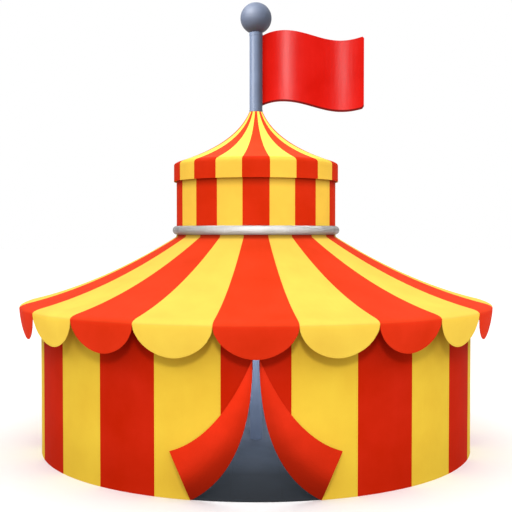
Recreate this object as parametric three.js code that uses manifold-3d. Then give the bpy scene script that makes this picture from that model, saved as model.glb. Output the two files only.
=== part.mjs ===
// A round, striped big top tent that people walk into: a canopy of 22 gores with a scalloped
// edge, a straight striped wall with a swept-back doorway, and a small crown with a flag on the pole.
// Millimetres, +Z up. The origin is on the ground under the centre pole, and the door faces -Y.

import * as THREE from "three";
import { mergeVertices } from "three/addons/utils/BufferGeometryUtils.js";
import Module from "manifold-3d";

const wasm = await Module();
wasm.setup();

// Fits and cloth
const FIT_GAP = 0.3; // clearance between pieces that touch
const CLOTH = 20; // canopy, wall and crown panels, drawn thicker than the real coated cloth
const FLAP_CLOTH = 16;
const FLAG_CLOTH = 12;

// Main canopy
const GORE_COUNT = 22;
const GORE_ANGLE = (2 * Math.PI) / GORE_COUNT;
const EAVE_RADIUS = 6710;
const EAVE_HEIGHT = 4030; // fold line where the scallops start
const SCALLOP_DEPTH = 740;
const SCALLOP_LEAN = 120; // how far the tip hangs in from under the fold
const SCALLOP_CORNER = 8; // depth left where two scallops meet
const SHOULDER_START = new THREE.Vector2(6470, 4160); // the roof slope starts to round over here
const SHOULDER_SLOPE = 0.24;
const CANOPY_TOP = new THREE.Vector2(2330, 5965);
const GORE_COLUMNS = 6;
const SHOULDER_ROWS = 3;
const SLOPE_ROWS = 5;
const CANOPY_WAIST = new THREE.Vector2(4500, 4625); // control point of the concave roof curve

// Wall, floor and doorway
const STRIPE_COUNT = 24;
const STRIPE_ANGLE = (2 * Math.PI) / STRIPE_COUNT;
const WALL_RADIUS = 6130;
const FACETS_PER_STRIPE = 4;
const FACET_ANGLE = STRIPE_ANGLE / FACETS_PER_STRIPE;
const FLOOR_THICKNESS = 30;
const DOOR_BAY = 1.5 * STRIPE_ANGLE; // each front wall runs from the centre line to here
const SIDE_BAY = 7 * STRIPE_ANGLE;
const SLIT_TOP = 3480; // the two front walls meet above this height
const SLIT_SHOULDER = 3330;
const SLIT_NARROWING = 0.9; // share of the slit's width left at its shoulder
const WALL_HEAD_GAP = 3; // between the wall's top edge and the canopy
const DOOR_EDGE = new THREE.QuadraticBezierCurve( // distance along the wall, height
  new THREE.Vector2(80, 3200),
  new THREE.Vector2(80, 757),
  new THREE.Vector2(1500, 0),
);
const FLAP_EDGE = new THREE.QuadraticBezierCurve(
  new THREE.Vector2(100, 3200),
  new THREE.Vector2(860, 1440),
  new THREE.Vector2(1996, 1104),
);
// Steps along the door's edge, some of them on the wall's own facet lines
const DOOR_STEPS = [
  ...[0, 0.12, 0.24, 0.36],
  doorStepAt(FACET_ANGLE),
  0.6,
  doorStepAt(2 * FACET_ANGLE),
  0.8,
  doorStepAt(3 * FACET_ANGLE),
  1,
];
const FLAP_BULGE = 420; // how far the rolled-back flap stands off the wall at its foot
const FLAP_DRAW_IN = 1.3; // the roll draws the cloth in towards the doorway
const FLAP_DRAW_UP = 0.25; // and lifts it, as a share of the roll
const FLAP_LIFT = 45; // at its outer edge
const FLAP_TOP_FULLNESS = 0.02; // share of the bulge and lift at the narrow top
const FLAP_FULLNESS_POWER = 1.7; // the flap lies flat high up and rolls out towards its foot
const FLAP_COLUMNS = 7;

// Wall rail and side poles
const RAIL_TUBE = 35; // radius
const RAIL_SIDES = 6;
const RAIL_SETTLE = 1.2; // keeps the rail just under the canopy's flat facets
const SIDE_POLE_RADIUS = 40;
const SIDE_POLE_CIRCLE = 6060;
const SIDE_POLE_STEP = 3.5 * STRIPE_ANGLE;
const SIDE_POLE_COUNT = 7;
const SIDE_POLE_FACETS = 12;

// Crown
const CROWN_FACETS = 2 * GORE_COUNT;
const CROWN_WALL_RADIUS = 2312;
const RING_HEIGHT = 6156; // centre of the ring's tube
const RING_RADIUS = 2305;
const RING_TUBE = 125;
const BAND_RADIUS = 2387;
const BAND_FOLD = 8085;
const BAND_BOTTOM = 7560;
const CROWN_PEAK = new THREE.Vector2(191, 9600);
const CROWN_WAIST = new THREE.Vector2(610, 8630);
const CROWN_ROWS = 6;
const CROWN_COLLAR = 60; // height of the cloth collar round the pole
const COLLAR_EASE = 0.5; // keeps the collar's flats clear of the pole's corners
const RING_SIDES = 8;
const FRAME_SPOKES = 4; // on the diagonals, where the ring has a flat
const SPOKE_WIDTH = 60;
const SPOKE_HEIGHT = 80;
const HUB_WALL = 45;
const HUB_HEIGHT = 240;
const UPRIGHT_SIDE = 48;
const UPRIGHT_CIRCLE = 2140;
const TOP_HOOP_HEIGHT = 7900;
const TOP_HOOP_TUBE = 28;
const TOP_HOOP_SIDES = 6;

// Pole, ball and flag
const POLE_RADIUS = 187.5;
const POLE_FACETS = 24;
const BALL_RADIUS = 454;
const BALL_HEIGHT = 12320;
const BALL_STEPS = 12;
const FLAG_TOP = 11820; // at the hoist edge
const FLAG_DROP = 2030;
const FLAG_SAG = 80; // how much lower the bottom edge hangs at the free edge
const FLAG_LENGTH = 2970; // straight distance from the pole to the free edge
const FLAG_DEPTH_WAVE = 270;
const FLAG_HEIGHT_WAVE = 100;
const FLAG_WAVES = 0.86; // waves along the flag
const FLAG_LEAD = 0.068; // part of a wave gained close to the hoist
const FLAG_LEAD_RATE = 12;
const FLAG_FLICK = 60; // how far the free edge flicks up
const FLAG_FLICK_POWER = 6; // keeps the flick close to that edge
const FLAG_COLUMNS = 16;

const material = (color, roughness, metalness = 0) =>
  new THREE.MeshStandardMaterial({ color, roughness, metalness });

const finishes = {
  red: () => material("#e53311", 0.6),
  yellow: () => material("#ffd14d", 0.6),
  crownCloth: () => material("#ff5831", 0.6),
  wallCloth: () => material("#c82108", 0.65),
  flapCloth: () => material("#f63a1c", 0.6),
  flagCloth: () => material("#f74542", 0.55),
  slatePaint: () => material("#858fa5", 0.35, 0.4),
  whitePaint: () => material("#f6f6f5", 0.3, 0.1),
  galvanised: () => material("#8a929c", 0.45, 0.8),
  floorMat: () => material("#4f5765", 0.8),
};

// Where along the door's edge the wall has turned by an angle from the centre line.
function doorStepAt(angle) {
  const { v0, v2 } = DOOR_EDGE;
  return Math.sqrt((angle * WALL_RADIUS - v0.x) / (v2.x - v0.x));
}

// A point at a distance from the axis, an angle from the door's centre line, and a height.
function around(radius, angle, height) {
  return new THREE.Vector3(
    radius * Math.sin(angle),
    -radius * Math.cos(angle),
    height,
  );
}

// A closed panel. place(across, depth, up) gives the position of each grid point, where all
// three run from 0 to 1: across turns towards +X at the door, depth goes inwards, up goes up.
function panel(columns, rows, place) {
  const geometry = new THREE.BoxGeometry(1, 1, 1, columns, 1, rows);
  geometry.translate(0.5, 0.5, 0.5);
  const position = geometry.getAttribute("position");
  for (let i = 0; i < position.count; i++) {
    const point = place(position.getX(i), position.getY(i), position.getZ(i));
    position.setXYZ(i, point.x, point.y, point.z);
  }
  geometry.computeVertexNormals();
  return geometry;
}

// A profile of Vector2(radius, height), counter-clockwise with the radius to the right, turned
// about the +Z axis into a closed ring or a closed solid.
function turned(profile, facets) {
  const geometry = new THREE.LatheGeometry(profile, facets);
  geometry.rotateX(Math.PI / 2);
  return geometry;
}

function solid(geometry) {
  const bare = geometry.clone();
  bare.deleteAttribute("normal");
  bare.deleteAttribute("uv");
  const merged = mergeVertices(bare, 1e-3);
  const vertProperties = new Float32Array(merged.getAttribute("position").array);
  const triVerts = new Uint32Array(merged.index.array);
  return new wasm.Manifold(
    new wasm.Mesh({ numProp: 3, vertProperties, triVerts }),
  );
}

function geometryOf(body) {
  const mesh = body.getMesh();
  const geometry = new THREE.BufferGeometry();
  geometry.setAttribute(
    "position",
    new THREE.BufferAttribute(new Float32Array(mesh.vertProperties), 3),
  );
  geometry.setIndex(new THREE.BufferAttribute(mesh.triVerts, 1));
  geometry.computeVertexNormals();
  return geometry;
}

// A regular polygon section of a tube, as Vector2(radius, height), closed on itself.
function tubeSection(centreRadius, height, tubeRadius, sides) {
  return Array.from({ length: sides + 1 }, (_, i) => {
    const turn = (2 * Math.PI * (i % sides)) / sides;
    return new THREE.Vector2(
      centreRadius + tubeRadius * Math.cos(turn),
      height + tubeRadius * Math.sin(turn),
    );
  });
}

// A profile drawn from its low outer end up, moved to its inner side.
function offsetInwards(points, distance) {
  return points.map((point, i) => {
    const before = points[Math.max(i - 1, 0)];
    const after = points[Math.min(i + 1, points.length - 1)];
    const along = after.clone().sub(before).normalize();
    return new THREE.Vector2(
      point.x - along.y * distance,
      point.y + along.x * distance,
    );
  });
}

// The height of a profile at a given radius, between its points.
function heightAt(points, radius) {
  const i = points.findIndex(
    (point, k) => k > 0 && (point.x - radius) * (points[k - 1].x - radius) <= 0,
  );
  const share = (radius - points[i - 1].x) / (points[i].x - points[i - 1].x);
  return THREE.MathUtils.lerp(points[i - 1].y, points[i].y, share);
}

// Main canopy: the outer profile from the fold line at the eave up to the collar at the ring.
function canopyProfile() {
  const fold = new THREE.Vector2(EAVE_RADIUS, EAVE_HEIGHT);
  const run = EAVE_RADIUS - SHOULDER_START.x;
  const corner = new THREE.Vector2(
    EAVE_RADIUS,
    SHOULDER_START.y - SHOULDER_SLOPE * run,
  );
  const shoulder = new THREE.QuadraticBezierCurve(fold, corner, SHOULDER_START);
  const slope = new THREE.QuadraticBezierCurve(
    SHOULDER_START,
    CANOPY_WAIST,
    CANOPY_TOP,
  );
  const collar = new THREE.Vector2(
    CROWN_WALL_RADIUS,
    RING_HEIGHT - RING_TUBE - FIT_GAP,
  );
  return [
    ...shoulder.getPoints(SHOULDER_ROWS),
    ...slope.getPoints(SLOPE_ROWS).slice(1),
    collar,
  ];
}

const canopyOuter = canopyProfile();
const canopyInner = offsetInwards(canopyOuter, CLOTH).map(
  (point, i) =>
    // the cloth hangs straight down from the fold, and its collar is level at the ring
    new THREE.Vector2(
      i === 0 ? EAVE_RADIUS - CLOTH : point.x,
      i === 0 || i === canopyOuter.length - 1 ? canopyOuter[i].y : point.y,
    ),
);

function goreGeometry() {
  const rows = canopyOuter.length;
  const halfAngle = GORE_ANGLE / 2;
  return panel(GORE_COLUMNS, rows, (across, depth, up) => {
    const side = -Math.cos(Math.PI * across); // closer columns towards the seams
    const row = Math.round(up * rows);
    const profile = depth > 0.5 ? canopyInner : canopyOuter;
    const point = profile[Math.max(row - 1, 0)];
    const drop = Math.max(
      SCALLOP_DEPTH * Math.sqrt(Math.max(1 - side * side, 0)),
      SCALLOP_CORNER,
    );
    const angle = side * (halfAngle - FIT_GAP / 2 / point.x);
    if (row > 0) return around(point.x, angle, point.y);
    const lean = (SCALLOP_LEAN * drop) / SCALLOP_DEPTH;
    return around(point.x - lean, angle, point.y - drop);
  });
}

// Walls, between two angles. lowEdge gives the height of the bottom edge at each column.
const wallTop = heightAt(canopyInner, WALL_RADIUS) - WALL_HEAD_GAP;

function wallGeometry(angles, lowEdge) {
  return panel(angles.length - 1, 1, (across, depth, up) => {
    const column = Math.round(across * (angles.length - 1));
    const radius = WALL_RADIUS - depth * CLOTH;
    return around(
      radius,
      angles[column],
      THREE.MathUtils.lerp(lowEdge[column], wallTop, up),
    );
  });
}

function plainWall(from, to) {
  const facets = Math.round((to - from) / FACET_ANGLE);
  const trim = FIT_GAP / 2 / WALL_RADIUS;
  const angles = Array.from({ length: facets + 1 }, (_, i) =>
    THREE.MathUtils.lerp(from + trim, to - trim, i / facets),
  );
  return wallGeometry(
    angles,
    angles.map(() => 0),
  );
}

// One front wall, on the right for side 1 and on the left for side -1.
function frontWall(side) {
  const trim = FIT_GAP / 2 / WALL_RADIUS;
  const edge = DOOR_STEPS.map((step) => DOOR_EDGE.getPoint(step));
  const plain = [4 * FACET_ANGLE, 5 * FACET_ANGLE];
  const columns = [
    [trim, SLIT_TOP],
    [(DOOR_EDGE.v0.x * SLIT_NARROWING) / WALL_RADIUS, SLIT_SHOULDER],
    ...edge.map((point) => [point.x / WALL_RADIUS, point.y]),
    ...plain.map((angle) => [angle, 0]),
    [DOOR_BAY - trim, 0],
  ];
  if (side < 0) columns.reverse();
  return wallGeometry(
    columns.map(([angle]) => side * angle),
    columns.map(([, low]) => low),
  );
}

// A door flap swept back outside the wall: it touches the wall along the door's edge, rolls
// outwards and comes back near the wall at its outer edge.
function doorFlap(side) {
  const rows = DOOR_STEPS.length - 1;
  return panel(FLAP_COLUMNS, rows, (across, depth, up) => {
    const out = side > 0 ? across : 1 - across;
    const step = DOOR_STEPS[Math.round((1 - up) * rows)];
    const inner = DOOR_EDGE.getPoint(step);
    const outer = FLAP_EDGE.getPoint(step);
    const spot = inner.lerp(outer, out);
    const opened = step ** FLAP_FULLNESS_POWER;
    const fullness = THREE.MathUtils.lerp(FLAP_TOP_FULLNESS, 1, opened);
    const roll = fullness * Math.sin(Math.PI * out) * FLAP_BULGE;
    const standOff = FIT_GAP + roll + fullness * FLAP_LIFT * out;
    const radius = WALL_RADIUS + standOff + (1 - depth) * FLAP_CLOTH;
    const along = spot.x * (1 - (FLAP_DRAW_IN * roll) / WALL_RADIUS);
    const height = spot.y + FLAP_DRAW_UP * roll;
    return around(radius, (side * along) / WALL_RADIUS, height);
  });
}

// Floor inside the wall
function floorGeometry() {
  const radius = WALL_RADIUS - CLOTH - FIT_GAP;
  const profile = [
    new THREE.Vector2(0, 0),
    new THREE.Vector2(radius, 0),
    new THREE.Vector2(radius, FLOOR_THICKNESS),
    new THREE.Vector2(0, FLOOR_THICKNESS),
  ];
  return turned(profile, STRIPE_COUNT * FACETS_PER_STRIPE);
}

// Rail at the wall's top, against its inner face and under the canopy
const railRadius = WALL_RADIUS - CLOTH - FIT_GAP - RAIL_TUBE;
const railFlat = RAIL_TUBE * Math.sin(Math.PI / 3);
const railHeight =
  heightAt(canopyInner, railRadius + RAIL_TUBE / 2) - railFlat - RAIL_SETTLE;

function railGeometry() {
  const section = tubeSection(railRadius, railHeight, RAIL_TUBE, RAIL_SIDES);
  return turned(section, STRIPE_COUNT * FACETS_PER_STRIPE);
}

function upright(radius, bottom, top, facets) {
  const geometry = new THREE.CylinderGeometry(
    radius,
    radius,
    top - bottom,
    facets,
  );
  geometry.rotateX(Math.PI / 2);
  geometry.translate(0, 0, (top + bottom) / 2);
  return geometry;
}

function sidePoleGeometry() {
  const foot = FLOOR_THICKNESS + FIT_GAP;
  const head = railHeight - railFlat - FIT_GAP;
  return upright(SIDE_POLE_RADIUS, foot, head, SIDE_POLE_FACETS);
}

// Crown roof: a concave cone that folds over into a hanging band
const crownSlope = new THREE.QuadraticBezierCurve(
  new THREE.Vector2(BAND_RADIUS, BAND_FOLD),
  CROWN_WAIST,
  CROWN_PEAK,
).getPoints(CROWN_ROWS);
const crownUnder = offsetInwards(crownSlope, CLOTH);

function crownRoofGeometry() {
  const hole = POLE_RADIUS + FIT_GAP + COLLAR_EASE;
  const inside = crownUnder.slice(1, -1).reverse();
  const bandInner = BAND_RADIUS - CLOTH;
  const profile = [
    new THREE.Vector2(bandInner, BAND_BOTTOM),
    new THREE.Vector2(BAND_RADIUS, BAND_BOTTOM),
    ...crownSlope.slice(0, -1),
    CROWN_PEAK,
    new THREE.Vector2(hole, CROWN_PEAK.y),
    new THREE.Vector2(hole, CROWN_PEAK.y - CROWN_COLLAR),
    ...inside,
    new THREE.Vector2(bandInner, heightAt(crownUnder, bandInner)),
    new THREE.Vector2(bandInner, BAND_BOTTOM),
  ];
  return turned(profile, CROWN_FACETS);
}

function crownWallGeometry() {
  const bottom = RING_HEIGHT + RING_TUBE + FIT_GAP;
  const top = heightAt(crownUnder, CROWN_WALL_RADIUS) - FIT_GAP;
  const inner = CROWN_WALL_RADIUS - CLOTH;
  const profile = [
    new THREE.Vector2(inner, bottom),
    new THREE.Vector2(CROWN_WALL_RADIUS, bottom),
    new THREE.Vector2(CROWN_WALL_RADIUS, top),
    new THREE.Vector2(inner, top),
    new THREE.Vector2(inner, bottom),
  ];
  return turned(profile, CROWN_FACETS);
}

function crownRingGeometry() {
  return turned(
    tubeSection(RING_RADIUS, RING_HEIGHT, RING_TUBE, RING_SIDES),
    CROWN_FACETS,
  );
}

// Crown frame: a sleeve on the pole at the ring and at the crown's eave, with spokes between
// them and the ring or the top hoop, and an upright on each spoke.
function hub(height) {
  const inner = POLE_RADIUS + FIT_GAP;
  const outer = inner + HUB_WALL;
  const low = height - HUB_HEIGHT / 2;
  const high = height + HUB_HEIGHT / 2;
  const profile = [
    new THREE.Vector2(inner, low),
    new THREE.Vector2(outer, low),
    new THREE.Vector2(outer, high),
    new THREE.Vector2(inner, high),
    new THREE.Vector2(inner, low),
  ];
  return turned(profile, POLE_FACETS);
}

function spoke(reach, height, angle) {
  const start = POLE_RADIUS + HUB_WALL / 2;
  const geometry = new THREE.BoxGeometry(
    SPOKE_WIDTH,
    reach - start,
    SPOKE_HEIGHT,
  );
  geometry.translate(0, -(reach + start) / 2, height);
  geometry.rotateZ(angle);
  return geometry;
}

function frameUpright(angle) {
  const geometry = new THREE.BoxGeometry(
    UPRIGHT_SIDE,
    UPRIGHT_SIDE,
    TOP_HOOP_HEIGHT - RING_HEIGHT,
  );
  const middle = (TOP_HOOP_HEIGHT + RING_HEIGHT) / 2;
  geometry.translate(0, -UPRIGHT_CIRCLE, middle);
  geometry.rotateZ(angle);
  return geometry;
}

function crownFrameGeometry() {
  const facet = (2 * Math.PI) / CROWN_FACETS;
  const ringReach = (RING_RADIUS - RING_TUBE) * Math.cos(facet / 2) - FIT_GAP;
  const hoopRadius =
    CROWN_WALL_RADIUS - CLOTH - FIT_GAP - TOP_HOOP_TUBE;
  const hoop = tubeSection(
    hoopRadius,
    TOP_HOOP_HEIGHT,
    TOP_HOOP_TUBE,
    TOP_HOOP_SIDES,
  );
  let frame = solid(hub(RING_HEIGHT))
    .add(solid(hub(TOP_HOOP_HEIGHT)))
    .add(solid(turned(hoop, CROWN_FACETS)));
  for (let i = 0; i < FRAME_SPOKES; i++) {
    const angle = ((i + 0.5) * 2 * Math.PI) / FRAME_SPOKES;
    frame = frame
      .add(solid(spoke(ringReach, RING_HEIGHT, angle)))
      .add(solid(spoke(hoopRadius, TOP_HOOP_HEIGHT, angle)))
      .add(solid(frameUpright(angle)));
  }
  return geometryOf(frame);
}

// Ball finial with a flat seat on the pole's top
const ballSeat =
  BALL_HEIGHT - Math.sqrt(BALL_RADIUS ** 2 - POLE_RADIUS ** 2);

function ballGeometry() {
  const seatTurn = Math.asin(POLE_RADIUS / BALL_RADIUS);
  const arc = Array.from({ length: BALL_STEPS + 1 }, (_, i) => {
    const turn = THREE.MathUtils.lerp(seatTurn, Math.PI, i / BALL_STEPS);
    return new THREE.Vector2(
      i === BALL_STEPS ? 0 : BALL_RADIUS * Math.sin(turn),
      BALL_HEIGHT - BALL_RADIUS * Math.cos(turn),
    );
  });
  return turned([new THREE.Vector2(0, ballSeat), ...arc], POLE_FACETS);
}

// Flag: a thick wavy sheet with its hoist edge on the pole
function flagGeometry() {
  const start = POLE_RADIUS + FIT_GAP;
  return panel(FLAG_COLUMNS, 1, (across, depth, up) => {
    const lead = FLAG_LEAD * (1 - Math.exp(-FLAG_LEAD_RATE * across));
    const wave = Math.sin(2 * Math.PI * (FLAG_WAVES * across + lead));
    const y = (depth - 0.5) * FLAG_CLOTH - FLAG_DEPTH_WAVE * wave;
    const flick = FLAG_FLICK * across ** FLAG_FLICK_POWER;
    const lift = FLAG_HEIGHT_WAVE * wave + flick;
    const drop = FLAG_DROP + FLAG_SAG * across;
    const z = FLAG_TOP - drop * (1 - up) + lift;
    return new THREE.Vector3(start + FLAG_LENGTH * across, y, z);
  });
}

const tent = new THREE.Group();

function addPart(name, geometry, finish, turn = 0) {
  const mesh = new THREE.Mesh(geometry, finish());
  mesh.name = name;
  mesh.rotation.z = turn;
  tent.add(mesh);
  return mesh;
}

function addCrown() {
  addPart("ball_finial", ballGeometry(), finishes.slatePaint);
  const poleFoot = FLOOR_THICKNESS + FIT_GAP;
  const pole = upright(
    POLE_RADIUS,
    poleFoot,
    ballSeat - FIT_GAP,
    POLE_FACETS,
  );
  addPart("centre_pole", pole, finishes.slatePaint);
  addPart("flag", flagGeometry(), finishes.flagCloth);
  addPart("crown_roof", crownRoofGeometry(), finishes.crownCloth);
  addPart("crown_wall", crownWallGeometry(), finishes.red);
  addPart("crown_ring", crownRingGeometry(), finishes.whitePaint);
  addPart("crown_frame", crownFrameGeometry(), finishes.galvanised);
}

function addCanopy() {
  const gore = goreGeometry();
  for (let i = 0; i < GORE_COUNT; i++) {
    const number = String(i + 1).padStart(2, "0");
    const finish = i % 2 === 0 ? finishes.red : finishes.yellow;
    addPart(`canopy_gore_${number}`, gore, finish, i * GORE_ANGLE);
  }
}

function addWalls() {
  const rearStart = DOOR_BAY + SIDE_BAY;
  addPart("front_wall_left", frontWall(-1), finishes.wallCloth);
  addPart("front_wall_right", frontWall(1), finishes.wallCloth);
  addPart("side_wall_left", plainWall(-rearStart, -DOOR_BAY), finishes.wallCloth);
  addPart("side_wall_right", plainWall(DOOR_BAY, rearStart), finishes.wallCloth);
  const rearEnd = 2 * Math.PI - rearStart;
  addPart("rear_wall", plainWall(rearStart, rearEnd), finishes.wallCloth);
  addPart("door_flap_left", doorFlap(-1), finishes.flapCloth);
  addPart("door_flap_right", doorFlap(1), finishes.flapCloth);
}

function addSupports() {
  addPart("floor", floorGeometry(), finishes.floorMat);
  addPart("wall_rail", railGeometry(), finishes.galvanised);
  const pole = sidePoleGeometry();
  for (let i = 0; i < SIDE_POLE_COUNT; i++) {
    const angle = DOOR_BAY + i * SIDE_POLE_STEP;
    const mesh = addPart(`side_pole_${i + 1}`, pole, finishes.galvanised, angle);
    mesh.position.copy(around(SIDE_POLE_CIRCLE, angle, 0));
  }
}

addCrown();
addCanopy();
addWalls();
addSupports();

export default tent;
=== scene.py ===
# The finish of a round striped big top tent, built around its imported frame.
# Metres, +Z up. The tent stands on the ground round its centre pole, and the doorway faces -Y.

import math

import bpy
from mathutils import Matrix, Vector, noise


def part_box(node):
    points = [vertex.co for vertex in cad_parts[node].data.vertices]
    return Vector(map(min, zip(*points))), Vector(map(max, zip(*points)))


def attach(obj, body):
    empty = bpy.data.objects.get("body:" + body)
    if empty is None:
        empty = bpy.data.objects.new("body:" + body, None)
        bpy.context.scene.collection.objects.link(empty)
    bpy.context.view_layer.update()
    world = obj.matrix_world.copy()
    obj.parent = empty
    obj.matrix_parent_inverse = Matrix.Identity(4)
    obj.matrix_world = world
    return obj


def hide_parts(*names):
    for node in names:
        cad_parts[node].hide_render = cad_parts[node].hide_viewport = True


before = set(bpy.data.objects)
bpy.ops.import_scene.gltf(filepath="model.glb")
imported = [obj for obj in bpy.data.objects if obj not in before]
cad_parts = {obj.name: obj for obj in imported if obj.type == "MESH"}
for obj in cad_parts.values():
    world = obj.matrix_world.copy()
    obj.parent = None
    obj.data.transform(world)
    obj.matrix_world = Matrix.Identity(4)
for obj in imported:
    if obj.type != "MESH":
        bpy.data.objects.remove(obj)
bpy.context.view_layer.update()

# Main canopy, from the fold at the eave up to the collar under the crown's ring: radius, height
GORES = 22
GORE_ANGLE = 2 * math.pi / GORES
EAVE = (6.71, 4.03)
SHOULDER_CORNER = (6.71, 4.1024)
SHOULDER_TOP = (6.47, 4.16)
CANOPY_WAIST = (4.5, 4.625)
CANOPY_TOP = (2.33, 5.965)
CANOPY_COLLAR = (2.312, 6.0307)
SCALLOP_DEPTH = 0.74
SCALLOP_LEAN = 0.12  # how far the tip hangs in from under the fold
SCALLOP_CURL = 1.4  # above 1 the scallop hangs straight first and curls in towards its tip
SCALLOP_CORNER = 0.008  # depth left where two scallops meet
SCALLOP_FULLNESS = 1.85  # 2 is an ellipse, and less is a little more pointed
SCALLOP_HEM = (0.975, 0.935)  # the scallop's hem lies between its edge and these shares of its depth
GORE_SAG = 0.014  # how far a gore sinks in along its middle

# Wall and doorway
STRIPES = 24
STRIPE_ANGLE = 2 * math.pi / STRIPES
WALL_RADIUS = 6.13
WALL_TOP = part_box("rear_wall")[1].z
DOOR_EDGE = ((0.08, 3.2), (0.08, 0.757), (1.5, 0.0))  # distance along the wall, height
SLIT_SHOULDER = (0.072, 3.33)
SLIT_TOP = 3.48
FLAP_EDGE = ((0.1, 3.2), (0.86, 1.44), (1.996, 1.104))
FLAP_BULGE = 0.42  # how far the roll stands out at its foot
FLAP_DRAW_IN = 1.3  # the roll draws the cloth in towards the doorway
FLAP_DRAW_UP = 0.25  # and lifts it, as a share of the roll
FLAP_LIFT = 0.045  # and its free edge
FLAP_TOP_FULLNESS = 0.02
FLAP_FULLNESS_POWER = 1.7  # the flap lies flat high up and rolls out towards its foot
FLAP_STAND = 0.0163  # the outer face lies this far outside WALL_RADIUS at the doorway
WALL_INSET = 0.004  # the cloth's outer face lies this far inside WALL_RADIUS
BILLOW = 0.007  # how far the wall's cloth swings in and out between its poles
BILLOW_SPREAD = 0.7  # below 1 it swings more near its head and foot
BILLOW_WAVES = (0.9, 0.25)  # how fast it changes along the wall and up it
BILLOW_SEED = 3.7
SEAM_REACH = 0.3  # a seam holds the cloth taut this far to each side

# Crown
CROWN_STRIPES = 20
CROWN_ANGLE = 2 * math.pi / CROWN_STRIPES
DRUM_RADIUS = 2.312
BAND_RADIUS = 2.387
BAND_BOTTOM = 7.56
BAND_FOLD = 8.085
BAND_ROUNDING = 0.07
CROWN_WAIST = (0.61, 8.63)
CROWN_PEAK = (0.191, 9.6)
DRUM_FOOT = 0.4  # height above the middle of the ring's tube, as a share of the tube's radius

# Flag
FLAG_LENGTH = 2.97
FLAG_DROP = 2.03
FLAG_SAG = 0.08  # how much lower the bottom edge hangs at the free edge
FLAG_TOP = 11.82
FLAG_DEPTH_WAVE = 0.27
FLAG_HEIGHT_WAVE = 0.1
FLAG_WAVES = 0.86  # along its length
FLAG_LEAD = 0.068  # the share of a wave by which the cloth is ahead soon after the pole
FLAG_LEAD_RATE = 12
FLAG_FLICK = 0.06  # how far the free edge flicks up
FLAG_FLICK_POWER = 6
FLAG_CORNER = 0.06  # radius of its two free corners
FLAG_GAP = 0.0003  # between the pole and the flag's edge

# Cloth
CLOTH_THICK = 0.008
HEM = 0.045  # width of a hem or of a welded lap
HEM_RISE = 0.003
HEM_COLUMN = 0.4  # an extra column lies at this share of a hem
HEM_FLAT = 0.6  # and up to this share the hem stands at its full height
SMOOTH_ANGLE = math.radians(35)  # a sharper bend than this is shaded as an edge

pole_low, pole_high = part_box("centre_pole")
POLE_RADIUS = pole_high.x
ball_low, ball_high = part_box("ball_finial")
BALL_RADIUS = ball_high.x
ring_low, ring_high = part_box("crown_ring")
RING_TUBE = (ring_high.z - ring_low.z) / 2
RING_HEIGHT = (ring_high.z + ring_low.z) / 2


def linear(hexcode):
    """An sRGB colour such as "C82108" as linear red, green, blue and alpha."""
    parts = [int(hexcode[i : i + 2], 16) / 255 for i in (0, 2, 4)]
    return (*(c / 12.92 if c <= 0.04045 else ((c + 0.055) / 1.055) ** 2.4 for c in parts), 1.0)


def add(tree, kind, inputs=None, **settings):
    """Adds a node. inputs names its sockets, each with a value or with the socket that feeds it."""
    made = tree.nodes.new(kind)
    for name, value in settings.items():
        setattr(made, name, value)
    for socket, value in (inputs or {}).items():
        if isinstance(value, bpy.types.NodeSocket):
            tree.links.new(value, made.inputs[socket])
        else:
            made.inputs[socket].default_value = value
    return made


def new_material(name):
    """An empty node material with its output, and its node tree."""
    made = bpy.data.materials.new(name)
    made.use_nodes = True
    made.node_tree.nodes.clear()
    return made, made.node_tree


def shade(tree, **sockets):
    """The shader and the output that every finish ends with."""
    inputs = {name.replace("_", " "): value for name, value in sockets.items()}
    shader = add(tree, "ShaderNodeBsdfPrincipled", inputs)
    add(tree, "ShaderNodeOutputMaterial", {"Surface": shader.outputs[0]})


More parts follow.
